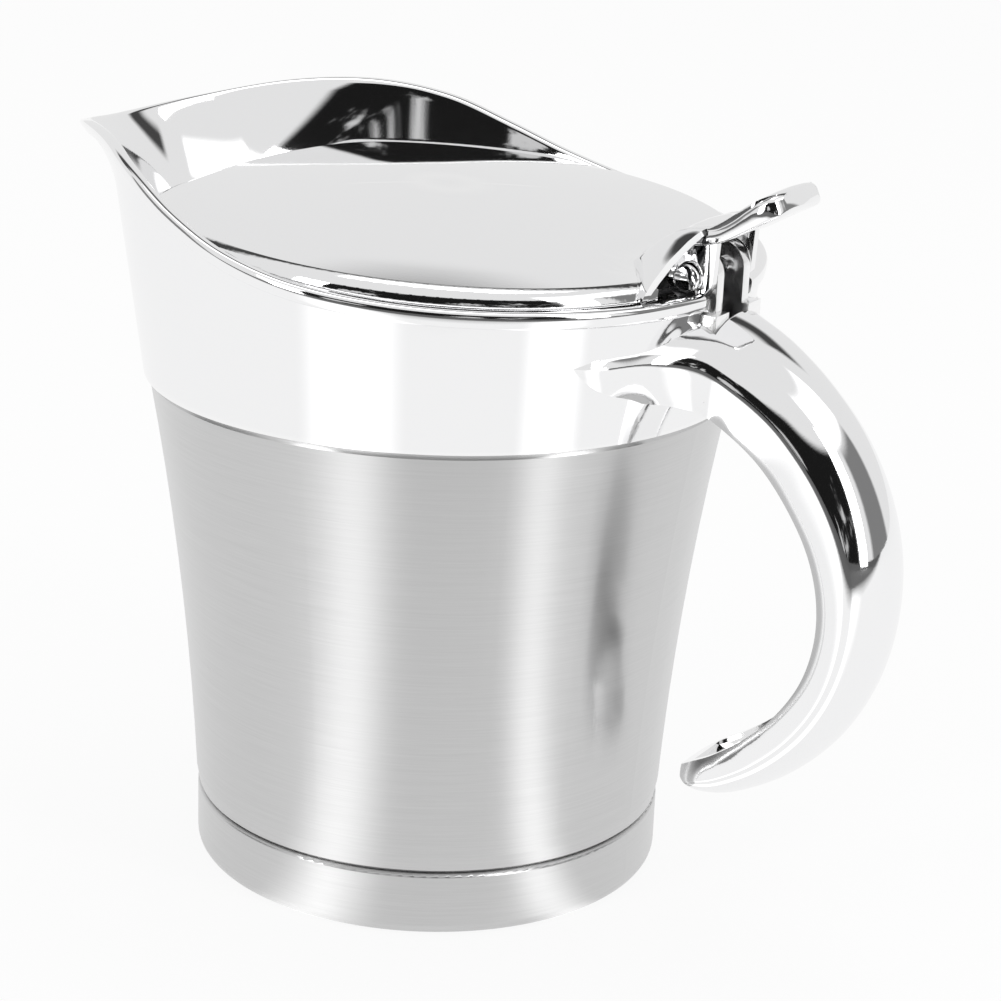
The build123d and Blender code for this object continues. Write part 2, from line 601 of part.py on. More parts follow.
def make_handle_shell():
    """The chromed hook of the handle, hollow from its inner side, with a root that wraps the collar."""
    solid = Solid.make_loft([handle_section(station) for station in HANDLE_STATIONS])
    hollow = Solid.make_loft(
        [channel_section(station) for station in HANDLE_STATIONS[CHANNEL_FIRST:CHANNEL_LAST + 1]]
    )
    shell = solid - hollow - cone_body(0, 0, COLLAR_TOP_Z) - bracket_window()
    for side in (-1, 1):
        shell = shell - bracket_screw(side, SCREW_CLEARANCE) - bracket_screw_access(side) - handle_screw(side)
    return shell


def make_handle_cover():
    """The strip let into the inner side of the handle."""
    return Solid.make_loft(
        [cover_section(station) for station in HANDLE_STATIONS[CHANNEL_FIRST:CHANNEL_LAST + 1]]
    )


def make_hinge_bracket():
    """A block in the handle's root with two upright lugs that carry the pin."""
    half = CHEEK_OUTER
    base = block(BRACKET_FRONT_X, BRACKET_BACK_X, -half, half, BRACKET_FLOOR_Z, BRACKET_SHOULDER_Z)
    lug_back = PIN_X + LUG_RADIUS
    lugs = block(BRACKET_FRONT_X, lug_back, -LUG_OUTER, LUG_OUTER, BRACKET_SHOULDER_Z, PIN_Z)
    lugs += along_y(PIN_X, PIN_Z, LUG_RADIUS, -LUG_OUTER, LUG_OUTER)
    slot = block(0, FAR, -LUG_INNER, LUG_INNER, SLOT_FLOOR_Z, FAR)
    bracket = base + lugs - slot - along_y(PIN_X, PIN_Z, PIN_RADIUS + PIN_RUNNING_CLEARANCE, -half, half)
    for side in (-1, 1):
        bracket -= bracket_screw(side)
    return bracket


def make_hinge_pin():
    """The pin with a low round head against the near cheek."""
    shank = along_y(PIN_X, PIN_Z, PIN_RADIUS, -CHEEK_OUTER, CHEEK_OUTER)
    head = along_y(PIN_X, PIN_Z, PIN_HEAD_RADIUS, -CHEEK_OUTER - PIN_HEAD_HEIGHT, -CHEEK_OUTER)
    return shank + head


def pair(screw):
    """Two like screws, one on each side, as one group of separate solids."""
    return Compound(children=[screw(-1), screw(1)])


def main():
    """Builds every sub-part and writes it to its own file."""
    os.makedirs("parts", exist_ok=True)
    pieces = {
        "base_cup": make_base_cup(),
        "outer_shell": make_outer_shell(),
        "inner_vessel": make_inner_vessel(),
        "rim_gasket": make_rim_gasket(),
        "spout_collar": make_spout_collar(),
        "lid_seat_ring": make_lid_seat_ring(),
        "handle_shell": make_handle_shell(),
        "handle_cover": make_handle_cover(),
        "handle_screws": pair(handle_screw),
        "hinge_bracket": make_hinge_bracket(),
        "bracket_screws": pair(bracket_screw),
        "hinge_pin": make_hinge_pin(),
        "lid_top": make_lid_top(),
        "lid_liner": make_lid_liner(),
        "thumb_lever": make_thumb_lever(),
        "lever_screws": pair(lambda side: tilt_lid(lever_screw(side))),
    }
    for name, shape in pieces.items():
        export_step(shape, os.path.join("parts", name + ".step"))


main()
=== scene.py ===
"""Looks of a double-walled steel seasoning pot: brushed body, chromed collar, lid, lever and hook handle."""

from __future__ import annotations

import logging
import math
from dataclasses import dataclass, field
from enum import Enum

import bmesh
import bpy
from mathutils import Matrix, Vector


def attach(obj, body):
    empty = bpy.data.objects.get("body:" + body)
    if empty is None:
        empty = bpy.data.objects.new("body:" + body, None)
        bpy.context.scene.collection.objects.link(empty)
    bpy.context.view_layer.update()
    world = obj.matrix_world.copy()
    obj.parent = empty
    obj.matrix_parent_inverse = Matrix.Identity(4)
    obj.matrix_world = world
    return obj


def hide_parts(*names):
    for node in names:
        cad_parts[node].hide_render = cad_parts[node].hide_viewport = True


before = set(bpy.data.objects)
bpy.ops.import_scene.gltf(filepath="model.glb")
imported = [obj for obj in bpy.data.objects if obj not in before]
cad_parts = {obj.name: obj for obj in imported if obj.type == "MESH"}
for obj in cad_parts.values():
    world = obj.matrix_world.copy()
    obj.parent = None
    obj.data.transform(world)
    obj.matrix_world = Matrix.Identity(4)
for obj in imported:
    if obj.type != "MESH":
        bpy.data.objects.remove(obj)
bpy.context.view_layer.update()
LOG = logging.getLogger("seasoning_pot")
Tree, Node, Socket = bpy.types.NodeTree, bpy.types.Node, bpy.types.NodeSocket
Piece, Finish = bpy.types.Object, bpy.types.Material
Pair, Triple = tuple[float, float], tuple[float, float, float]
Station = tuple[float, float, float, float, float]
MM = 0.001
WELD = 0.000002
SOFT_ANGLE = 32.0
CUT_TOP = 0.2
FINE_LINES = 9000.0
COARSE_LINES = 2400.0
STREAKS_ROUND = 3.0
GRAIN_SCALE = 2600.0


class Carrier(Enum):
    """The two bodies of the pot that pieces ride on."""

    POT = "pot"
    LID = "lid"


def add_node(tree: Tree, kind: str, **values: object) -> Node:
    """Adds a shader node and sets its properties.

    Args:
        tree: The node tree that gets the node.
        kind: The node's type name.
        values: Properties of the node, by name.

    Returns:
        The new node.
    """
    node = tree.nodes.new(kind)
    for name, value in values.items():
        setattr(node, name, value)
    return node


def math_node(tree: Tree, operation: str, *values: object) -> Socket:
    """Adds a math node whose inputs are numbers or sockets.

    Args:
        tree: The node tree that gets the node.
        operation: The math operation.
        values: A number or a socket for each input.

    Returns:
        The result's socket.
    """
    node = add_node(tree, "ShaderNodeMath", operation=operation)
    for slot, value in zip(node.inputs, values):
        feed(tree, value, slot)
    return node.outputs[0]


def feed(tree: Tree, value: object, slot: Socket) -> None:
    """Gives an input a number, or links a socket to it.

    Args:
        tree: The node tree.
        value: The number or the socket.
        slot: The input.
    """
    if isinstance(value, Socket):
        tree.links.new(value, slot)
    else:
        slot.default_value = value


def fill(tree: Tree, node: Node, values: dict[str, object]) -> None:
    """Gives a node's inputs their numbers or sockets.

    Args:
        tree: The node tree.
        node: The node.
        values: The number or the socket for each input, by name.
    """
    for label, value in values.items():
        feed(tree, value, node.inputs[label])


def distance_along(tree: Tree, place: Socket, direction: Vector) -> Socket:
    """How far a place lies along a direction.

    Args:
        tree: The node tree.
        place: The socket with the place.
        direction: The direction, of length 1.

    Returns:
        The socket with the distance.
    """
    node = add_node(tree, "ShaderNodeVectorMath", operation="DOT_PRODUCT")
    node.inputs[1].default_value = direction
    tree.links.new(place, node.inputs[0])
    return node.outputs["Value"]


def turn_round(tree: Tree, place: Socket, ahead: Vector) -> tuple[Socket, Socket]:
    """Angle of a place round the pot, from a level direction.

    Args:
        tree: The node tree.
        place: The socket with the place.
        ahead: The level direction where the angle is 0, of length 1.

    Returns:
        The sockets with the angle in radians and with the distance along the direction.
    """
    away = distance_along(tree, place, ahead)
    aside = distance_along(tree, place, Vector((-ahead.y, ahead.x, 0)))
    return math_node(tree, "ARCTAN2", aside, away), away


def ramp_between(
    tree: Tree,
    source: Socket,
    span: tuple[object, object] = (0.0, 1.0),
    levels: tuple[object, object] = (0.0, 1.0),
    interpolation: str = "LINEAR",
) -> Socket:
    """Maps a socket from one range to another.

    Args:
        tree: The node tree.
        source: The socket that is mapped.
        span: The source's range, as numbers or sockets.
        levels: The result's range, as numbers or sockets.
        interpolation: The kind of ramp.

    Returns:
        The socket with the mapped value.
    """
    ramp = add_node(tree, "ShaderNodeMapRange", interpolation_type=interpolation)
    labels = ("Value", "From Min", "From Max", "To Min", "To Max")
    fill(tree, ramp, dict(zip(labels, (source, *span, *levels))))
    return ramp.outputs["Result"]


def blend(tree: Tree, share: object, first: object, second: object) -> Socket:
    """Blends two levels.

    Args:
        tree: The node tree.
        share: Share of the second level, a number or a socket.
        first: The first level, a number or a socket.
        second: The second level.

    Returns:
        The socket with the blended level.
    """
    mix = add_node(tree, "ShaderNodeMix", data_type="FLOAT")
    fill(tree, mix, {"Factor": share, "A": first, "B": second})
    return mix.outputs["Result"]


def new_group(name: str, inputs: dict[str, float], outputs: dict[str, str]) -> Tree:
    """Makes an empty shader node group with Object coordinates ready inside.

    Args:
        name: The group's name.
        inputs: Default value of each number input, by name.
        outputs: Socket type of each output, by name.

    Returns:
        The group's tree, with its Group Input and Group Output nodes.
    """
    tree = bpy.data.node_groups.new(name, "ShaderNodeTree")
    for label, default in inputs.items():
        socket = tree.interface.new_socket(label, in_out="INPUT", socket_type="NodeSocketFloat")
        socket.default_value = default
    for label, kind in outputs.items():
        tree.interface.new_socket(label, in_out="OUTPUT", socket_type=kind)
    add_node(tree, "NodeGroupInput", name="in")
    add_node(tree, "NodeGroupOutput", name="out")
    add_node(tree, "ShaderNodeTexCoord", name="place")
    return tree


def brushing_group() -> Tree:
    """Fine brush lines round the Z axis: long in the round, short in height.

    Returns:
        A group with Low and High inputs and Roughness, Shade and Height outputs.
    """
    tree = new_group(
        "brush_lines",
        {"Low": 0.2, "High": 0.4},
        {"Roughness": "NodeSocketFloat", "Shade": "NodeSocketFloat", "Height": "NodeSocketFloat"},
    )
    place, source, sink = (tree.nodes[name] for name in ("place", "in", "out"))
    split = add_node(tree, "ShaderNodeSeparateXYZ")
    feed(tree, place.outputs["Object"], split.inputs[0])
    angle = math_node(tree, "ARCTAN2", split.outputs["Y"], split.outputs["X"])
    noises = []
    for lines_per_metre in (FINE_LINES, COARSE_LINES):
        spot = add_node(tree, "ShaderNodeCombineXYZ")
        around = [math_node(tree, operation, angle) for operation in ("SINE", "COSINE")]
        x, y = (math_node(tree, "MULTIPLY", value, STREAKS_ROUND) for value in around)
        z = math_node(tree, "MULTIPLY", split.outputs["Z"], lines_per_metre)
        fill(tree, spot, {"X": x, "Y": y, "Z": z})
        noise = add_node(tree, "ShaderNodeTexNoise")
        fill(tree, noise, {"Vector": spot.outputs[0], "Scale": 1.0, "Detail": 2.0})
        noises.append(noise.outputs["Fac"])
    shade = math_node(tree, "MULTIPLY", math_node(tree, "ADD", *noises), 0.5)
    rough = ramp_between(tree, shade, levels=(source.outputs["Low"], source.outputs["High"]))
    fill(tree, sink, {"Roughness": rough, "Shade": shade, "Height": noises[0]})
    return tree


def smudge_group() -> Tree:
    """Faint cloudy polish marks and a fine grain, placed on the surface.

    Returns:
        A group with Size, Low and High inputs and Roughness and Height outputs.
    """
    tree = new_group(
        "polish_marks",
        {"Size": 60.0, "Low": 0.02, "High": 0.08},
        {"Roughness": "NodeSocketFloat", "Height": "NodeSocketFloat"},
    )
    source, place = tree.nodes["in"], tree.nodes["place"].outputs["Object"]
    cloud, fine = add_node(tree, "ShaderNodeTexNoise"), add_node(tree, "ShaderNodeTexNoise")
    fill(tree, cloud, {"Vector": place, "Scale": source.outputs["Size"], "Detail": 5.0, "Roughness": 0.6})
    fill(tree, fine, {"Vector": place, "Scale": GRAIN_SCALE})
    rough = ramp_between(tree, cloud.outputs["Fac"], levels=(source.outputs["Low"], source.outputs["High"]))
    fill(tree, tree.nodes["out"], {"Roughness": rough, "Height": fine.outputs["Fac"]})
    return tree


def wear_and_highlight_group() -> Tree:
    """Edge wear with a painted highlight: a mask that is high on convex edges.

    Returns:
        A group with Low and High inputs and a Mask output.
    """
    tree = new_group("edge_wear_and_highlight", {"Low": 0.52, "High": 0.6}, {"Mask": "NodeSocketFloat"})
    shape, source = add_node(tree, "ShaderNodeNewGeometry"), tree.nodes["in"]
    # High on convex edges, where the colour turns paler: partly edge wear, partly a painted highlight.
    mask = ramp_between(tree, shape.outputs["Pointiness"], (source.outputs["Low"], source.outputs["High"]))
    tree.links.new(mask, tree.nodes["out"].inputs["Mask"])
    return tree


@dataclass(frozen=True)
class Effects:
    """The node groups that several finishes share."""

    brushing: Tree = field(default_factory=brushing_group)
    smudges: Tree = field(default_factory=smudge_group)
    edges: Tree = field(default_factory=wear_and_highlight_group)


def start_material(name: str) -> tuple[Finish, Tree, Node]:
    """Makes a material with a Principled shader.

    Args:
        name: The material's name.

    Returns:
        The material, its tree and its Principled node.
    """
    material = bpy.data.materials.new(name)
    material.use_nodes = True
    return material, material.node_tree, material.node_tree.nodes["Principled BSDF"]


def place_group(tree: Tree, group: Tree, **values: float) -> Node:
    """Places a node group in a material with its own values.

    Args:
        tree: The material's tree.
        group: The shared group.
        values: Input values by name.

    Returns:
        The group node.
    """
    node = add_node(tree, "ShaderNodeGroup", node_tree=group)
    fill(tree, node, values)
    return node


def add_bump(tree: Tree, shader: Node, height: Socket, depth: float) -> None:
    """Feeds a height into the shader's normal.

    Args:
        tree: The material's tree.
        shader: The Principled node.
        height: The socket with the height.
        depth: The bump's depth in metres.
    """
    bump = add_node(tree, "ShaderNodeBump")
    fill(tree, bump, {"Distance": depth, "Height": height})
    tree.links.new(bump.outputs["Normal"], shader.inputs["Normal"])


@dataclass(frozen=True)
class BrushedSteel:
    """Steel with fine brush lines round the pot's axis."""

    name: str = "brushed_steel_finish"
    colour: Triple = (0.62, 0.62, 0.62)
    shade_depth: float = 0.05
    roughness: Pair = (0.24, 0.36)
    anisotropy: float = 0.75
    line_depth: float = 0.000006
    shade_band: Pair = (0.3, 0.7)
    brush_turn: float = 0.25

    def make(self, effects: Effects) -> Finish:
        """Builds the material.

        Args:
            effects: The shared node groups.

        Returns:
            The material.
        """
        material, tree, shader = start_material(self.name)
        lines = place_group(tree, effects.brushing, Low=self.roughness[0], High=self.roughness[1])
        ramp = add_node(tree, "ShaderNodeValToRGB")
        gains = (1 - self.shade_depth, 1 + self.shade_depth)
        for element, gain, position in zip(ramp.color_ramp.elements, gains, self.shade_band):
            element.color = (*[channel * gain for channel in self.colour], 1)
            element.position = position
        tree.links.new(lines.outputs["Shade"], ramp.inputs["Fac"])
        tangent = add_node(tree, "ShaderNodeTangent", direction_type="RADIAL", axis="Z")
        values = {
            "Base Color": ramp.outputs["Color"],
            "Roughness": lines.outputs["Roughness"],
            "Metallic": 1.0,
            "Anisotropic": self.anisotropy,
            "Anisotropic Rotation": self.brush_turn,
            "Tangent": tangent.outputs["Tangent"],
        }
        fill(tree, shader, values)
        add_bump(tree, shader, lines.outputs["Height"], self.line_depth)
        return material


@dataclass(frozen=True)
class MarkedSkin:
    """A smooth surface with faint polish marks, a fine grain and paler convex edges, partly edge wear and
    partly a painted highlight.
    """

    name: str
    colour: Triple
    wear_and_highlight_colour: Triple
    roughness: Pair
    mark_size: float
    grain_depth: float
    metallic: float

    def make(self, effects: Effects) -> Finish:
        """Builds the material.

        Args:
            effects: The shared node groups.

        Returns:
            The material.
        """
        material, tree, shader = start_material(self.name)
        low, high = self.roughness
        marks = place_group(tree, effects.smudges, Size=self.mark_size, Low=low, High=high)
        # Convex edges take the paler second colour: partly edge wear, partly a painted highlight.
        wear_and_highlight = place_group(tree, effects.edges)
        mix = add_node(tree, "ShaderNodeMix", data_type="RGBA")
        colours = {"A": (*self.colour, 1), "B": (*self.wear_and_highlight_colour, 1)}
        fill(tree, mix, {"Factor": wear_and_highlight.outputs["Mask"], **colours})
        values = {
            "Base Color": mix.outputs["Result"],
            "Roughness": marks.outputs["Roughness"],
            "Metallic": self.metallic,
        }
        fill(tree, shader, values)
        add_bump(tree, shader, marks.outputs["Height"], self.grain_depth)
        return material


@dataclass(frozen=True)
class MirrorChrome(MarkedSkin):
    """Chrome plate, bright unless its roughness says otherwise."""

    name: str = "mirror_chrome_finish"
    colour: Triple = (0.92, 0.92, 0.925)
    # Paler colour of convex edges: partly edge wear, partly a painted highlight.
    wear_and_highlight_colour: Triple = (0.96, 0.96, 0.96)
    roughness: Pair = (0.02, 0.07)
    mark_size: float = 45.0
    grain_depth: float = 0.0000015
    metallic: float = 1.0


@dataclass(frozen=True)
class MouldedPlastic(MarkedSkin):
    """Smooth moulded plastic or silicone."""

    mark_size: float = 90.0
    grain_depth: float = 0.00001
    metallic: float = 0.0


@dataclass(frozen=True)
class Finishes:
    """Every finish on the pot."""

    brushed: Finish
    vessel: Finish
    chrome: Finish
    cast: Finish
    screw: Finish
    gasket: Finish
    liner: Finish

    @staticmethod
    def build(effects: Effects) -> "Finishes":
        """Makes every material once.

        Args:
            effects: The shared node groups.

        Returns:
            The set of materials.
        """
        return Finishes(
            brushed=BrushedSteel().make(effects),
            vessel=BrushedSteel(
                "vessel_steel_finish", (0.74, 0.74, 0.73), 0.06, roughness=(0.16, 0.24), anisotropy=0.5
            ).make(effects),
            chrome=MirrorChrome().make(effects),
            cast=MirrorChrome(
                "cast_chrome_finish",
                (0.88, 0.88, 0.88),
                roughness=(0.10, 0.24),
                mark_size=300.0,
                grain_depth=0.00001,
            ).make(effects),
            screw=BrushedSteel(
                "screw_finish", (0.6, 0.6, 0.6), 0.1, roughness=(0.25, 0.4), anisotropy=0.3
            ).make(effects),
            # The second colour of the gasket and the liner is their paler convex edges: partly edge wear,
            # partly a painted highlight.
            gasket=MouldedPlastic(
                "gasket_finish", (0.72, 0.72, 0.70), (0.956, 0.956, 0.93), (0.45, 0.6)
            ).make(effects),
            liner=MouldedPlastic(
                "liner_finish", (0.03, 0.03, 0.032), (0.059, 0.059, 0.0616), (0.18, 0.32)
            ).make(effects),
        )


def smooth_value(points: tuple[Pair, ...], x: float) -> float:
    """Height of a smooth line through points that rise in x.

    Args:
        points: The (x, value) points.
        x: Where to read the line.

    Returns:
        The value there.
    """
    x = min(max(x, points[0][0]), points[-1][0])
    last = len(points) - 2
    index = next((i for i in range(last + 1) if x <= points[i + 1][0]), last)

    def slope(i: int) -> float:
        before, after = points[max(i - 1, 0)], points[min(i + 1, len(points) - 1)]
        return (after[1] - before[1]) / (after[0] - before[0])

    (x0, y0), (x1, y1) = points[index], points[index + 1]
    run = x1 - x0
    t = (x - x0) / run
    return (
        (2 * t**3 - 3 * t**2 + 1) * y0
        + (t**3 - 2 * t**2 + t) * run * slope(index)
        + (3 * t**2 - 2 * t**3) * y1
        + (t**3 - t**2) * run * slope(index + 1)
    )


def smooth_row(rows: tuple[tuple[float, ...], ...], place: float) -> list[float]:
    """Values between rows of a table, on a smooth line through the rows.

    Args:
        rows: The rows.
        place: The place, where 0 is the first row and 1 the second.

    Returns:
        The values there.
    """
    index = min(int(place), len(rows) - 2)
    t = place - index
    before, start, end, after = (rows[min(max(index + k, 0), len(rows) - 1)] for k in (-1, 0, 1, 2))
    return [
        0.5 * (2 * b + (c - a) * t + (2 * a - 5 * b + 4 * c - d) * t**2 + (3 * b - a - 3 * c + d) * t**3)
        for a, b, c, d in zip(before, start, end, after)
    ]


def ringed_tube(name: str, sides: int, rings: int, closed: bool) -> Piece:
    """Adds an upright tube of unit radius with its rings one unit apart, ready for shaping.

    Args:
        name: The new object's name.
        sides: Points in each ring.
        rings: Number of rings.
        closed: True to join the last ring to the first, False to cap both ends.

    Returns:
        The tube, whose ring number is each point's z.
    """
    bpy.ops.object.select_all(action="DESELECT")
    bpy.ops.mesh.primitive_cylinder_add(
        vertices=sides, radius=1, depth=1, end_fill_type="NOTHING", location=(0, 0, 0.5)
    )
    tube = bpy.context.object
    tube.name = name
    bpy.ops.object.transform_apply(location=True, rotation=True, scale=True)
    bpy.ops.object.mode_set(mode="EDIT")
    select_rings(tube, {1})
    for _ in range(rings - 2):
        bpy.ops.mesh.extrude_region_move(TRANSFORM_OT_translate={"value": (0, 0, 1)})
    select_rings(tube, {0, rings - 1})
    if closed:
        bpy.ops.mesh.bridge_edge_loops()
    else:
        select_rings(tube, {0})
        bpy.ops.mesh.edge_face_add()
        select_rings(tube, {rings - 1})
        bpy.ops.mesh.edge_face_add()
    bpy.ops.object.mode_set(mode="OBJECT")
    return tube


def select_rings(tube: Piece, wanted: set[int]) -> None:
    """Selects the points of some rings of a tube in edit mode, with the edges that join them in the ring.

    Args:
        tube: The tube in edit mode.
        wanted: The ring numbers.
    """
    bpy.ops.mesh.select_all(action="DESELECT")
    mesh = bmesh.from_edit_mesh(tube.data)
    for edge in mesh.edges:
        ends = {round(point.co.z) for point in edge.verts}
        if len(ends) == 1 and ends <= wanted:
            edge.select_set(True)
    bmesh.update_edit_mesh(tube.data)


def pick(*pieces: Piece) -> None:
    """Selects pieces and nothing else, and makes the first one active.

    Args:
        pieces: The mesh objects.
    """
    bpy.ops.object.select_all(action="DESELECT")
    for piece in pieces:
        piece.select_set(True)
    bpy.context.view_layer.objects.active = pieces[0]


def shade_edges(angle: float = SOFT_ANGLE) -> None:
    """Shades the picked piece smooth up to an angle.

    Args:
        angle: The sharpest smooth edge in degrees.
    """
    bpy.ops.object.shade_smooth_by_angle(angle=math.radians(angle))


def finish_shape(piece: Piece, angle: float = SOFT_ANGLE) -> None:
    """Turns the faces outwards and shades them smooth up to an angle.

    Args:
        piece: The mesh object.
        angle: The sharpest smooth edge in degrees.
    """
    pick(piece)
    bpy.ops.object.mode_set(mode="EDIT")
    bpy.ops.mesh.select_all(action="SELECT")
    bpy.ops.mesh.remove_doubles(threshold=WELD)
    bpy.ops.mesh.normals_make_consistent(inside=False)
    bpy.ops.object.mode_set(mode="OBJECT")
    shade_edges(angle)


def signed_power(value: float, power: float) -> float:
    """A power that keeps the sign, which squares off a round outline.

    Args:
        value: The value.
        power: The power of its size.

    Returns:
        The result.
    """
    return math.copysign(abs(value) ** power, value)


def cut_away(piece: Piece, cutter: Piece) -> None:
    """Cuts one shape out of another and deletes the cutter.

    Args:
        piece: The shape that is cut.
        cutter: The shape that is taken away.
    """
    pick(piece)
    modifier = piece.modifiers.new("cut", "BOOLEAN")
    modifier.operation = "DIFFERENCE"
    modifier.solver = "MANIFOLD"
    modifier.object = cutter
    bpy.ops.object.modifier_apply(modifier="cut")
    bpy.data.objects.remove(cutter)


def box_between(low: Triple, high: Triple) -> Piece:
    """Adds a box between two corners, for cutting.

    Args:
        low: The lowest corner.
        high: The highest corner.

    Returns:
        The box.
    """
    bpy.ops.object.select_all(action="DESELECT")
    middle = [(a + b) / 2 for a, b in zip(low, high)]
    bpy.ops.mesh.primitive_cube_add(size=1, location=middle)
    box = bpy.context.object
    box.scale = [b - a for a, b in zip(low, high)]
    bpy.ops.object.transform_apply(location=True, rotation=True, scale=True)
    return box


def settle(piece: Piece, node: str, carrier: Carrier, material: Finish) -> None:
    """Puts a finished piece in place of a node, on its body, with its finish.

    Args:
        piece: The finished mesh object.
        node: The node that it stands for.
        carrier: The body that it rides on.
        material: The finish.
    """
    piece.data.materials.clear()
    piece.data.materials.append(material)
    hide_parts(node)
    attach(piece, carrier.value)
    LOG.info("%s stands for %s", piece.name, node)


class ChromedPiece:
    """A modelled piece in bright chrome that stands for one node."""

    node: str
    carrier: Carrier

    def dress(self, piece: Piece, finishes: Finishes) -> None:
        """Puts the piece on its body.

        Args:
            piece: The modelled piece.
            finishes: The materials.
        """
        settle(piece, self.node, self.carrier, finishes.chrome)


@dataclass
class PouringCollar(ChromedPiece):
    """The chromed collar: a flared wall drawn out to a spout, with a proud lip along its rim."""

    node: str = "spout_collar"
    carrier: Carrier = Carrier.POT
    bottom_z: float = 0.096
    bottom_radius: float = 0.0557
    flare: float = 0.137
    wall: float = 0.0019
    bore_radius: float = 0.0541
    spout_start_z: float = 0.100
    spout_reach: float = 0.014
    spout_height: float = 0.036
    spout_curve: float = 2.6
    nose_radius: float = 0.032
    beak_reach: float = 0.0105
    beak_half_angle: float = 7.0
    beak_power: int = 6
    beak_limit: float = 1.5
    inner_beak: float = 0.25
    lip_height: float = 0.003
    lip_proud: float = 0.0007
    window_half_width: float = 0.0088
    window: Triple = (0.0519, 0.0611, 0.107)
    sides: int = 288
    wall_rings: int = 30
    search_rounds: int = 30
    search_gain: float = 0.6
    inner_drop_share: float = 0.3
    shade_angle: float = 50.0
    rim_line: tuple[Pair, ...] = (
        (-0.110, 0.122), (-0.096, 0.128), (-0.083, 0.133), (-0.070, 0.1372), (-0.057, 0.140),
        (-0.044, 0.1402), (-0.032, 0.1374), (-0.020, 0.1324), (-0.008, 0.1279), (0.006, 0.1246),
        (0.024, 0.1226), (0.045, 0.1214), (0.070, 0.1204),
    )
    lip_section: tuple[Pair, ...] = (
        (0.98, -0.2), (0.95, -0.7), (0.86, -0.97), (0.7, -1.0), (0.45, -1.0), (0.22, -0.9), (0.08, -0.55),
        (0.01, -0.05), (0.0, 0.7), (0.0, 1.7), (0.05, 2.35), (0.16, 2.65),
    )

    def radius(self, turn: float, z: float, inset: float, beak: float) -> float:
        """Distance of the wall from the pot's axis.

        Args:
            turn: Angle from the spout in radians.
            z: Height.
            inset: How far inside the outer surface.
            beak: Share of the small beak at the spout's tip.

        Returns:
            The distance.
        """
        ring = self.cone(z) - inset
        nose = self.nose_radius - inset
        share = max(0.0, (z - self.spout_start_z) / self.spout_height)
        centre = ring + self.spout_reach * share**self.spout_curve - nose
        touch = math.acos(min(1.0, (ring - nose) / centre))
        nose_touch = math.atan2(nose * math.sin(touch), centre + nose * math.cos(touch))
        if turn >= touch:
            reach = ring
        elif turn >= nose_touch:
            reach = ring / math.cos(touch - turn)
        else:
            reach = centre * math.cos(turn) + math.sqrt(nose**2 - (centre * math.sin(turn)) ** 2)
        bump = math.exp(-((math.degrees(turn) / self.beak_half_angle) ** 2))
        return reach + self.beak_reach * beak * min(self.beak_limit, share**self.beak_power) * bump

    def point(self, turn: float, share: float, drop: float, inset: float) -> Triple:
        """A point of the wall, found between the bottom edge and the rim line.

        Args:
            turn: Angle from +X in radians, from minus pi to pi.
            share: 0 at the bottom edge, 1 at the rim less the drop.
            drop: How far below the rim line a share of 1 lies.
            inset: How far inside the outer surface.

        Returns:
            The point.
        """
        off_spout = math.pi - abs(turn)
        beak = 1 - (1 - self.inner_beak) * min(1.0, max(0.0, inset / self.wall))
        z = self.bottom_z
        for _ in range(self.search_rounds):
            x = self.radius(off_spout, z, inset, beak) * math.cos(turn)
            top = smooth_value(self.rim_line, x) - drop
            z += self.search_gain * (self.bottom_z + share * (top - self.bottom_z) - z)
        reach = self.radius(off_spout, z, inset, beak)
        if inset > self.wall / 2:
            reach = max(reach, self.bore_radius)
        return (reach * math.cos(turn), reach * math.sin(turn), z)

    def rings(self) -> list[Triple]:
        """The wall's section, up the outside and down the inside.

        Returns:
            The share, drop and inset of each ring.
        """
        steps = [ring / (self.wall_rings - 1) for ring in range(self.wall_rings)]
        outside = [(step, self.lip_height, 0.0) for step in steps]
        lip = [(1.0, drop * self.lip_height, inset * self.lip_proud) for drop, inset in self.lip_section]
        inner_drop = self.inner_drop_share * self.lip_height
        inside = [(step, inner_drop, self.wall) for step in reversed(steps)]
        return outside + lip + inside

    def build(self) -> Piece:
        """Models the collar.

        Returns:
            The finished mesh object.
        """
        rings = self.rings()
        collar = ringed_tube("pouring_collar", self.sides, len(rings), closed=True)
        for vertex in collar.data.vertices:
            turn = math.atan2(vertex.co.y, vertex.co.x)
            vertex.co = self.point(turn, *rings[round(vertex.co.z)])
        finish_shape(collar, self.shade_angle)
        cut_away(collar, self.window_box())
        shade_edges(self.shade_angle)
        return collar

    def cone(self, z: float) -> float:
        """Radius of the plain flared wall.

        Args:
            z: Height.

        Returns:
            The radius there.
        """
        return self.bottom_radius + self.flare * (z - self.bottom_z)

    def window_box(self) -> Piece:
        """The opening for the hinge.

        Returns:
            A solid for cutting.
        """
        front, back, floor = self.window
        half = self.window_half_width
        return box_between((front, -half, floor), (back, half, CUT_TOP))


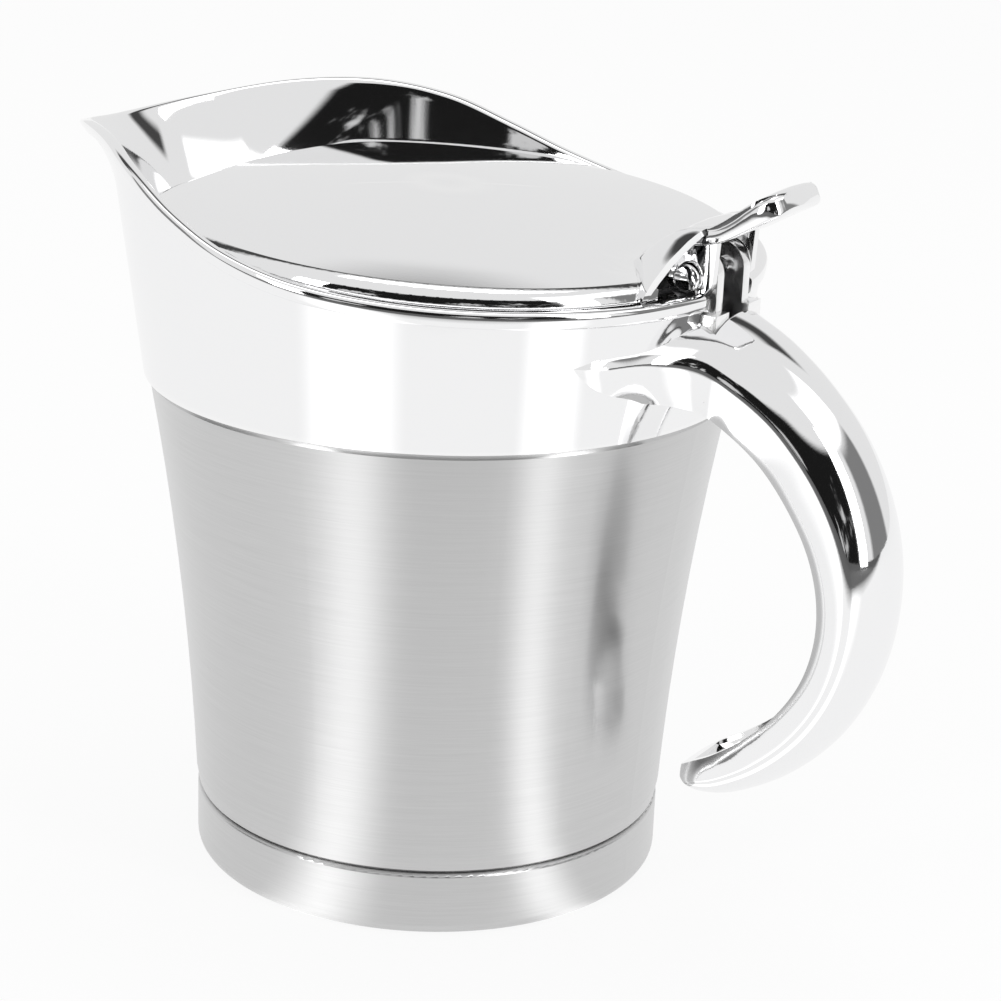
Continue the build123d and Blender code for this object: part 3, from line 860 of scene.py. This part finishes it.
@dataclass
class SoftenedCasting:
    """A cast or pressed part of the hinge, whose edges are rounded as plating needs them."""

    node: str
    name: str
    carrier: Carrier
    edge_radius: float
    slot: str = "chrome"
    satin: bool = False
    bevel_steps: int = 3
    flat_angle: float = 0.6
    sharp_angle: float = 28.0
    shade_angle: float = 38.0

    def build(self) -> Piece:
        """Rounds the edges of a copy of the node.

        Returns:
            The finished mesh object.
        """
        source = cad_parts[self.node]
        piece = bpy.data.objects.new(self.name, source.data.copy())
        bpy.context.scene.collection.objects.link(piece)
        pick(piece)
        bpy.ops.object.mode_set(mode="EDIT")
        bpy.ops.mesh.customdata_custom_splitnormals_clear()
        bpy.ops.mesh.select_all(action="SELECT")
        bpy.ops.mesh.remove_doubles(threshold=WELD)
        bpy.ops.mesh.dissolve_limited(angle_limit=math.radians(self.flat_angle))
        bpy.ops.object.mode_set(mode="OBJECT")
        bevel = piece.modifiers.new("round", "BEVEL")
        bevel.width = self.edge_radius
        bevel.segments = self.bevel_steps
        bevel.limit_method = "ANGLE"
        bevel.angle_limit = math.radians(self.sharp_angle)
        bevel.use_clamp_overlap = True
        bpy.ops.object.modifier_apply(modifier="round")
        shade_edges(self.shade_angle)
        return piece

    def dress(self, piece: Piece, finishes: Finishes) -> None:
        """Puts the casting on its body, in satin or in bright chrome.

        Args:
            piece: The casting.
            finishes: The materials.
        """
        settle(piece, self.node, self.carrier, finishes.cast if self.satin else finishes.chrome)


@dataclass
class ThumbLever(ChromedPiece):
    """The lever: a rounded strap from the thumb pad over the hinge, with two wings down to the lid's notch.

    Places are (x, z) in millimetres of the pot's middle plane, drawn level and tilted with the lid.
    """

    node: str = "thumb_lever"
    carrier: Carrier = Carrier.LID
    casting: SoftenedCasting = field(
        default_factory=lambda: SoftenedCasting("thumb_lever", "lever_casting", Carrier.LID, 0.0004)
    )
    pin: Pair = (55.0, 123.5)
    tilt_degrees: float = 3.3
    strap: tuple[Station, ...] = (
        (45.6, 122.6, 47.6, 120.8, 9.6), (47.0, 125.6, 49.2, 122.9, 9.2), (48.5, 127.9, 51.0, 125.6, 8.9),
        (50.4, 130.2, 52.8, 127.3, 8.8), (53.4, 132.2, 55.0, 128.9, 8.9), (56.6, 133.1, 57.6, 129.8, 9.0),
        (59.4, 134.0, 60.6, 130.9, 9.0), (61.8, 135.7, 63.2, 132.5, 9.1), (64.0, 137.8, 65.8, 134.2, 9.2),
        (66.2, 139.7, 68.2, 135.7, 9.2), (68.2, 140.8, 70.2, 137.0, 8.6), (69.5, 141.0, 71.0, 138.2, 6.6),
    )
    strap_sides: int = 40
    steps: int = 6
    edge_power: float = 0.36
    crown: float = 0.5
    wing_top: tuple[Triple, ...] = (
        (46.0, 8.2, 123.4), (48.2, 8.1, 127.2), (51.2, 8.0, 130.3), (54.4, 8.2, 131.9),
        (57.8, 8.6, 132.6),
    )
    wing_foot: tuple[Triple, ...] = (
        (45.6, 9.3, 122.2), (47.4, 12.4, 121.6), (49.3, 15.6, 121.0), (51.2, 18.9, 120.4),
        (52.9, 20.9, 120.2),
    )
    wing_thickness: float = 1.5
    wing_sides: int = 24
    wing_bulge: float = 1.4
    wing_powers: Pair = (0.5, 0.6)
    wing_probe: float = 0.2
    shade_angle: float = 60.0

    def tilted(self, x: float, y: float, z: float) -> Triple:
        """Turns a point drawn level to the lid's resting slope.

        Args:
            x: Along the pot, in millimetres.
            y: Across it.
            z: Height.

        Returns:
            The point in metres.
        """
        angle = math.radians(self.tilt_degrees)
        dx, dz = x - self.pin[0], z - self.pin[1]
        return (
            (self.pin[0] + dx * math.cos(angle) + dz * math.sin(angle)) * MM,
            y * MM,
            (self.pin[1] - dx * math.sin(angle) + dz * math.cos(angle)) * MM,
        )

    def build(self) -> Piece:
        """Models the lever.

        Returns:
            The finished mesh object.
        """
        parts = [self.casting.build(), self.build_strap(), self.build_wing(1), self.build_wing(-1)]
        pick(*parts)
        bpy.ops.object.join()
        parts[0].name = "rounded_lever"
        return parts[0]

    def build_strap(self) -> Piece:
        """Models the strap with its thumb pad.

        Returns:
            The strap.
        """
        count = self.steps * (len(self.strap) - 1) + 1
        tube = ringed_tube("strap", self.strap_sides, count, closed=False)
        rows = [smooth_row(self.strap, k / self.steps) for k in range(count)]
        for vertex in tube.data.vertices:
            turn = math.atan2(vertex.co.y, vertex.co.x)
            top_x, top_z, low_x, low_z, half = rows[round(vertex.co.z)]
            across = signed_power(math.cos(turn), self.edge_power)
            up = signed_power(math.sin(turn), self.edge_power)
            sag = self.crown * across**2 / math.hypot(top_x - low_x, top_z - low_z)
            share = 0.5 + 0.5 * up - sag
            x, z = low_x + share * (top_x - low_x), low_z + share * (top_z - low_z)
            vertex.co = self.tilted(x, across * half, z)
        finish_shape(tube, self.shade_angle)
        return tube

    def build_wing(self, side: int) -> Piece:
        """Models one wing between the strap's edge and the lid's notch.

        Args:
            side: 1 for the left wing, -1 for the right.

        Returns:
            The wing.
        """
        count = self.steps * (len(self.wing_top) - 1) + 1
        tube = ringed_tube("wing", self.wing_sides, count, closed=False)
        for vertex in tube.data.vertices:
            place = round(vertex.co.z) / self.steps
            top, foot = (Vector(smooth_row(line, place)) for line in (self.wing_top, self.wing_foot))
            along = foot - top
            after = min(place + self.wing_probe, len(self.wing_top) - 1)
            before = max(place - self.wing_probe, 0)
            ahead = Vector(smooth_row(self.wing_top, after)) - Vector(smooth_row(self.wing_top, before))
            out = ahead.cross(along).normalized()
            turn = math.atan2(vertex.co.y, vertex.co.x)
            share = 0.5 + 0.5 * signed_power(math.cos(turn), self.wing_powers[0])
            bulge = self.wing_bulge * 4 * share * (1 - share)
            lift = self.wing_thickness / 2 * signed_power(math.sin(turn), self.wing_powers[1])
            spot = top + share * along + (lift + bulge) * out * (1 if out.z > 0 else -1)
            vertex.co = self.tilted(spot.x, side * spot.y, spot.z)
        finish_shape(tube, self.shade_angle)
        return tube


@dataclass
class HookHandle(ChromedPiece):
    """The chromed hook: crowned outside, flat inside, with a recess for its cover strip."""

    node: str = "handle_shell"
    carrier: Carrier = Carrier.POT
    stations: tuple[Station, ...] = (
        (44.0, 116.4, 46.0, 106.4, 35.2), (50.0, 117.6, 50.0, 104.2, 31.0), (56.5, 117.6, 55.0, 102.4, 20.0),
        (63.0, 115.9, 60.0, 100.6, 13.8), (70.0, 112.4, 65.6, 97.4, 12.4), (78.0, 106.4, 71.4, 92.6, 11.3),
        (85.6, 98.2, 76.8, 86.2, 11.0), (91.2, 88.2, 81.2, 78.8, 10.8), (94.4, 77.0, 83.6, 70.8, 10.6),
        (94.7, 65.0, 83.8, 62.6, 10.4), (92.2, 53.4, 81.6, 54.2, 10.2), (86.8, 42.8, 76.8, 46.4, 10.0),
        (78.6, 34.0, 70.8, 40.3, 9.6), (69.0, 28.0, 65.2, 36.0, 9.0), (62.2, 26.2, 60.8, 33.4, 8.0),
        (58.8, 27.0, 58.2, 31.6, 5.8), (57.2, 28.2, 57.0, 30.6, 3.0),
    )
    flat_share: float = 0.82
    crease_share: float = 0.56
    wall: float = 2.4
    channel_first: int = 4
    channel_last: int = 14
    channel_roof_share: float = 0.7
    body_top: float = 0.143
    steps: int = 8
    crown_points: int = 36
    flank_points: int = 10
    flat_points: int = 8
    collar: PouringCollar = field(default_factory=PouringCollar)

    def to_place(self, station: list[float], across: float, out: float) -> Triple:
        """Turns a point of a section into a point of the pot.

        Args:
            station: The section's values.
            across: Distance along Y in millimetres.
            out: Distance from the inner face in millimetres.

        Returns:
            The point in metres.
        """
        outer_x, outer_z, inner_x, inner_z, _ = station
        depth = math.hypot(outer_x - inner_x, outer_z - inner_z)
        x = inner_x + out * (outer_x - inner_x) / depth
        z = inner_z + out * (outer_z - inner_z) / depth
        return (x * MM, across * MM, z * MM)

    def outline(self, station: list[float]) -> list[Pair]:
        """The closed outline of one section: flat, flank, crown and flank.

        Args:
            station: The section's values.

        Returns:
            The (across, out) points in millimetres.
        """
        depth = math.hypot(station[0] - station[2], station[1] - station[3])
        half = station[4]
        flat, crease = self.flat_share * half, self.crease_share * depth
        bulge = ((flat + 2 * half) / 3, crease / 2)
        flank = arc_points((flat, 0.0), bulge, (half, crease), self.flank_points)
        crown = arc_points((half, crease), (0.0, depth), (-half, crease), self.crown_points)
        base = [(-flat + 2 * flat * k / self.flat_points, 0.0) for k in range(self.flat_points)]
        return base + flank + crown + [(-across, out) for across, out in reversed(flank)][:-1]

    def build(self) -> Piece:
        """Models the handle.

        Returns:
            The finished mesh object.
        """
        places = [k / self.steps for k in range(self.steps * (len(self.stations) - 1) + 1)]
        sections = [smooth_row(self.stations, place) for place in places]
        sides = len(self.outline(sections[0]))
        handle = ringed_tube("hook_handle", sides, len(places), closed=False)
        outlines = [self.outline(section) for section in sections]
        for vertex in handle.data.vertices:
            side = round(math.atan2(vertex.co.y, vertex.co.x) / math.tau * sides) % sides
            ring = round(vertex.co.z)
            vertex.co = self.to_place(sections[ring], *outlines[ring][side])
        finish_shape(handle)
        cut_away(handle, self.channel())
        cut_away(handle, self.body())
        cut_away(handle, self.collar.window_box())
        shade_edges()
        return handle

    def body(self) -> Piece:
        """The space inside the collar's outer face, carried on down to the base.

        Returns:
            A solid for cutting.
        """
        bpy.ops.object.select_all(action="DESELECT")
        bpy.ops.mesh.primitive_cone_add(
            vertices=self.collar.sides,
            radius1=self.collar.cone(0.0),
            radius2=self.collar.cone(self.body_top),
            depth=self.body_top,
            location=(0, 0, self.body_top / 2),
        )
        return bpy.context.object

    def channel(self) -> Piece:
        """The hollow on the inner side.

        Returns:
            A solid for cutting.
        """
        first, last = self.channel_first * self.steps, self.channel_last * self.steps
        sections = [smooth_row(self.stations, k / self.steps) for k in range(first, last + 1)]
        hollow = ringed_tube("hollow", 4, len(sections), closed=False)
        for vertex in hollow.data.vertices:
            side = round(math.atan2(vertex.co.y, vertex.co.x) / math.tau * 4) % 4
            section = sections[round(vertex.co.z)]
            depth = math.hypot(section[0] - section[2], section[1] - section[3])
            mouth = section[4] - self.wall
            roof_half = self.channel_roof_share * mouth
            roof = depth - self.wall
            corners = ((-mouth, -self.wall), (mouth, -self.wall), (roof_half, roof), (-roof_half, roof))
            vertex.co = self.to_place(section, *corners[side])
        finish_shape(hollow)
        return hollow


def arc_points(start: Pair, middle: Pair, end: Pair, count: int) -> list[Pair]:
    """Evenly spaced points on the arc through three points, without its end.

    Args:
        start: The first point.
        middle: A point on the way.
        end: The last point.
        count: Number of points.

    Returns:
        The points from the start to just before the end.
    """
    (ax, ay), (bx, by), (cx, cy) = start, middle, end
    d = 2 * (ax * (by - cy) + bx * (cy - ay) + cx * (ay - by))
    ux = ((ax**2 + ay**2) * (by - cy) + (bx**2 + by**2) * (cy - ay) + (cx**2 + cy**2) * (ay - by)) / d
    uy = ((ax**2 + ay**2) * (cx - bx) + (bx**2 + by**2) * (ax - cx) + (cx**2 + cy**2) * (bx - ax)) / d
    radius = math.hypot(ax - ux, ay - uy)
    first = math.atan2(ay - uy, ax - ux)
    through = (math.atan2(by - uy, bx - ux) - first) % math.tau
    sweep = (math.atan2(cy - uy, cx - ux) - first) % math.tau
    if through > sweep:
        sweep -= math.tau
    angles = [first + sweep * k / count for k in range(count)]
    return [(ux + radius * math.cos(angle), uy + radius * math.sin(angle)) for angle in angles]


def dress_node(name: str, material: Finish) -> None:
    """Gives a carried-over node its finish.

    Args:
        name: The node's name.
        material: The finish.
    """
    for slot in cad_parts[name].material_slots:
        slot.material = material
    LOG.info("%s dressed with %s", name, material.name)


@dataclass(frozen=True)
class Opening:
    """A dark opening in the white tent, or a bright panel in it, which the chrome mirrors as a shape.

    Angles are in radians round the pot from the camera's side; heights are the sine of the elevation.
    """

    middle: float
    half_width: float
    low: float
    high: float
    level: float
    softness: float = 0.05
    cloud_level: float = 0.0
    cloud_size: float = 3.4
    cloud_edges: Pair = (0.58, 0.68)

    def clouds(self, tree: Tree) -> Socket:
        """Pale cloudy patches inside the opening.

        Args:
            tree: The world's tree.

        Returns:
            The socket with the opening's level.
        """
        sight = add_node(tree, "ShaderNodeTexCoord")
        noise = add_node(tree, "ShaderNodeTexNoise")
        fill(tree, noise, {"Vector": sight.outputs["Generated"], "Scale": self.cloud_size, "Detail": 4.0})
        levels = (self.level, self.cloud_level)
        return ramp_between(tree, noise.outputs["Fac"], self.cloud_edges, levels, "SMOOTHSTEP")

    def dim(self, tree: Tree, turn: Socket, rise: Socket, light: object) -> Socket:
        """Sets the tent's level inside the opening.

        Args:
            tree: The world's tree.
            turn: The direction's angle round the pot.
            rise: The sine of the direction's elevation.
            light: The level so far, a number or a socket.

        Returns:
            The socket with the new level.
        """
        off = math_node(tree, "SUBTRACT", turn, self.middle)
        aside = math_node(tree, "ABSOLUTE", math_node(tree, "WRAP", off, math.pi, -math.pi))
        inside: object = 1.0
        for source, start, end in (
            (aside, self.half_width + self.softness, self.half_width - self.softness),
            (rise, self.low - self.softness, self.low + self.softness),
            (rise, self.high + self.softness, self.high - self.softness),
        ):
            mask = ramp_between(tree, source, (start, end), interpolation="SMOOTHSTEP")
            inside = math_node(tree, "MULTIPLY", inside, mask)
        return blend(tree, inside, light, self.clouds(tree) if self.cloud_level else self.level)


@dataclass
class Studio:
    """The floor, the white tent with its openings and bright panel, the lamps and the camera."""

    camera_place: Triple = (0.2540, -0.4066, 0.2284)
    target: Triple = (0.0, 0.0, 0.063)
    roll_degrees: float = 1.85
    lens: float = 94.6
    shift: Pair = (0.0654, 0.0321)
    floor_half: float = 3.0
    floor_glow: float = 0.88
    floor_level: float = 0.96
    pools: tuple[Triple, ...] = ((-30.0, 10.0, 0.75), (38.0, 6.5, 0.7))
    floor_far: Pair = (0.26, 0.42)
    floor_dark: float = 0.02
    floor_drop: float = 0.0001
    lamps: tuple[tuple[str, float, float, float, Pair, float], ...] = (
        ("lamp_left", -48.0, 20.0, 1.2, (0.22, 0.9), 2.4),
        ("lamp_right", 52.0, 24.0, 1.2, (0.26, 1.0), 2.8),
        ("lamp_top", 160.0, 78.0, 1.3, (0.7, 0.5), 1.6),
    )
    tent_level: float = 0.8
    mirrored_level: float = 0.82
    openings: tuple[Opening, ...] = (
        Opening(0.0, 0.78, -0.40, 0.60, 0.01, 0.04, 0.6),
        Opening(1.50, 0.30, -0.20, 0.55, 0.22),
        Opening(-1.60, 0.30, -0.20, 0.50, 0.22),
        Opening(math.pi, 0.90, 0.60, 0.78, 0.06),
        Opening(1.35, 0.50, 0.60, 0.80, 1.7, 0.03),
    )

    def build(self) -> None:
        """Sets the whole studio up."""
        self.place_camera()
        self.lay_floor()
        self.hang_tent()
        self.place_lamps()
        bpy.context.scene.view_settings.view_transform = "Standard"

    def place_camera(self) -> None:
        """Puts the camera at the photograph's viewing angle."""
        data = bpy.data.cameras.new("camera")
        camera = bpy.data.objects.new("camera", data)
        bpy.context.scene.collection.objects.link(camera)
        data.lens = self.lens
        data.sensor_width = 36.0
        data.shift_x, data.shift_y = self.shift
        data.clip_start, data.clip_end = 0.01, 20.0
        roll = Matrix.Rotation(math.radians(self.roll_degrees), 4, "Z")
        camera.matrix_world = self.aimed(Vector(self.camera_place)) @ roll
        bpy.context.scene.camera = camera

    def aimed(self, place: Vector) -> Matrix:
        """Aims a camera or a lamp at the pot.

        Args:
            place: Where it stands.

        Returns:
            Its transform.
        """
        aim = (Vector(self.target) - place).to_track_quat("-Z", "Y")
        return Matrix.Translation(place) @ aim.to_matrix().to_4x4()

    def lay_floor(self) -> None:
        """Adds the pale floor, which looks white, keeps the pot's shadow and ends dark in mirrors."""
        bpy.ops.object.select_all(action="DESELECT")
        bpy.ops.mesh.primitive_plane_add(size=2 * self.floor_half, location=(0, 0, -self.floor_drop))
        floor = bpy.context.object
        floor.name = "floor"
        material, tree, shader = start_material("floor_paper")
        fill(tree, shader, {"Base Color": (0.9, 0.9, 0.9, 1), "Roughness": 0.9, "Specular IOR Level": 0.1})
        rays = add_node(tree, "ShaderNodeLightPath")
        seen, mirrored = rays.outputs["Is Camera Ray"], rays.outputs["Is Glossy Ray"]
        share = math_node(tree, "MULTIPLY", math_node(tree, "MAXIMUM", seen, mirrored), self.floor_glow)
        place = add_node(tree, "ShaderNodeTexCoord")
        turn, away = turn_round(tree, place.outputs["Object"], self.ahead())
        table_edge = ramp_between(tree, away, self.floor_far, (1.0, self.floor_dark))
        lit = math_node(tree, "MULTIPLY", table_edge, self.light_pools(tree, turn))
        glow = add_node(tree, "ShaderNodeEmission")
        tree.links.new(blend(tree, seen, lit, 1.0), glow.inputs["Strength"])
        mix = add_node(tree, "ShaderNodeMixShader")
        for slot, socket in zip(mix.inputs, (share, shader.outputs[0], glow.outputs[0])):
            tree.links.new(socket, slot)
        tree.links.new(mix.outputs[0], tree.nodes["Material Output"].inputs["Surface"])
        floor.data.materials.append(material)

    def ahead(self) -> Vector:
        """Direction from the pot towards the camera.

        Returns:
            The level direction, of length 1.
        """
        return Vector((self.camera_place[0], self.camera_place[1], 0)).normalized()

    def light_pools(self, tree: Tree, turn: Socket) -> Socket:
        """Level of the mirrored floor, with the bright pool in front of each side lamp.

        Args:
            tree: The floor material's tree.
            turn: The floor point's angle round the pot from the camera's side.

        Returns:
            The socket with the level.
        """
        level: object = self.floor_level
        for middle, half_width, strength in self.pools:
            aside = math_node(tree, "ABSOLUTE", math_node(tree, "SUBTRACT", turn, math.radians(middle)))
            edges = (math.radians(2 * half_width), 0.0)
            pool = ramp_between(tree, aside, edges, (0.0, strength), "SMOOTHSTEP")
            level = math_node(tree, "ADD", pool, level)
        return level

    def hang_tent(self) -> None:
        """Makes the world a white tent, whose dark openings and bright panel show only in mirrors."""
        world = bpy.data.worlds.new("tent")
        bpy.context.scene.world = world
        world.use_nodes = True
        tree = world.node_tree
        sight = add_node(tree, "ShaderNodeTexCoord").outputs["Generated"]
        split = add_node(tree, "ShaderNodeSeparateXYZ")
        tree.links.new(sight, split.inputs[0])
        turn, _ = turn_round(tree, sight, self.ahead())
        light: object = self.mirrored_level
        for opening in self.openings:
            light = opening.dim(tree, turn, split.outputs["Z"], light)
        rays = add_node(tree, "ShaderNodeLightPath")
        mirrored = blend(tree, rays.outputs["Is Glossy Ray"], self.tent_level, light)
        seen = blend(tree, rays.outputs["Is Camera Ray"], mirrored, 1.0)
        fill(tree, tree.nodes["Background"], {"Color": (1, 1, 1, 1), "Strength": seen})

    def place_lamps(self) -> None:
        """Hangs two tall soft lamps, left and right of the camera, and one overhead."""
        for name, turn, rise, distance, size, power in self.lamps:
            data = bpy.data.lights.new(name, "AREA")
            data.shape = "RECTANGLE"
            data.size, data.size_y = size
            data.energy = power
            lamp = bpy.data.objects.new(name, data)
            bpy.context.scene.collection.objects.link(lamp)
            towards = math.atan2(self.camera_place[1], self.camera_place[0]) + math.radians(turn)
            level = math.radians(rise)
            place = distance * Vector(
                (math.cos(level) * math.cos(towards), math.cos(level) * math.sin(towards), math.sin(level))
            )
            lamp.matrix_world = self.aimed(place)


def main() -> None:
    """Builds the scene piece by piece."""
    logging.basicConfig(level=logging.INFO)
    finishes = Finishes.build(Effects())
    studio = Studio()
    studio.build()
    makers = (
        PouringCollar(),
        HookHandle(),
        ThumbLever(),
        SoftenedCasting("hinge_bracket", "rounded_bracket", Carrier.POT, 0.0005, satin=True),
        SoftenedCasting("hinge_pin", "rounded_pin", Carrier.LID, 0.0006, "polished_steel"),
    )
    for maker in makers:
        maker.dress(maker.build(), finishes)
    for material, nodes in (
        (finishes.brushed, ("base_cup", "outer_shell")),
        (finishes.vessel, ("inner_vessel",)),
        (finishes.gasket, ("rim_gasket",)),
        (finishes.liner, ("lid_seat_ring", "lid_liner")),
        (finishes.chrome, ("handle_cover", "lid_top")),
        (finishes.screw, ("handle_screws", "bracket_screws", "lever_screws")),
    ):
        for node in nodes:
            dress_node(node, material)


if __name__ == "__main__":
    main()
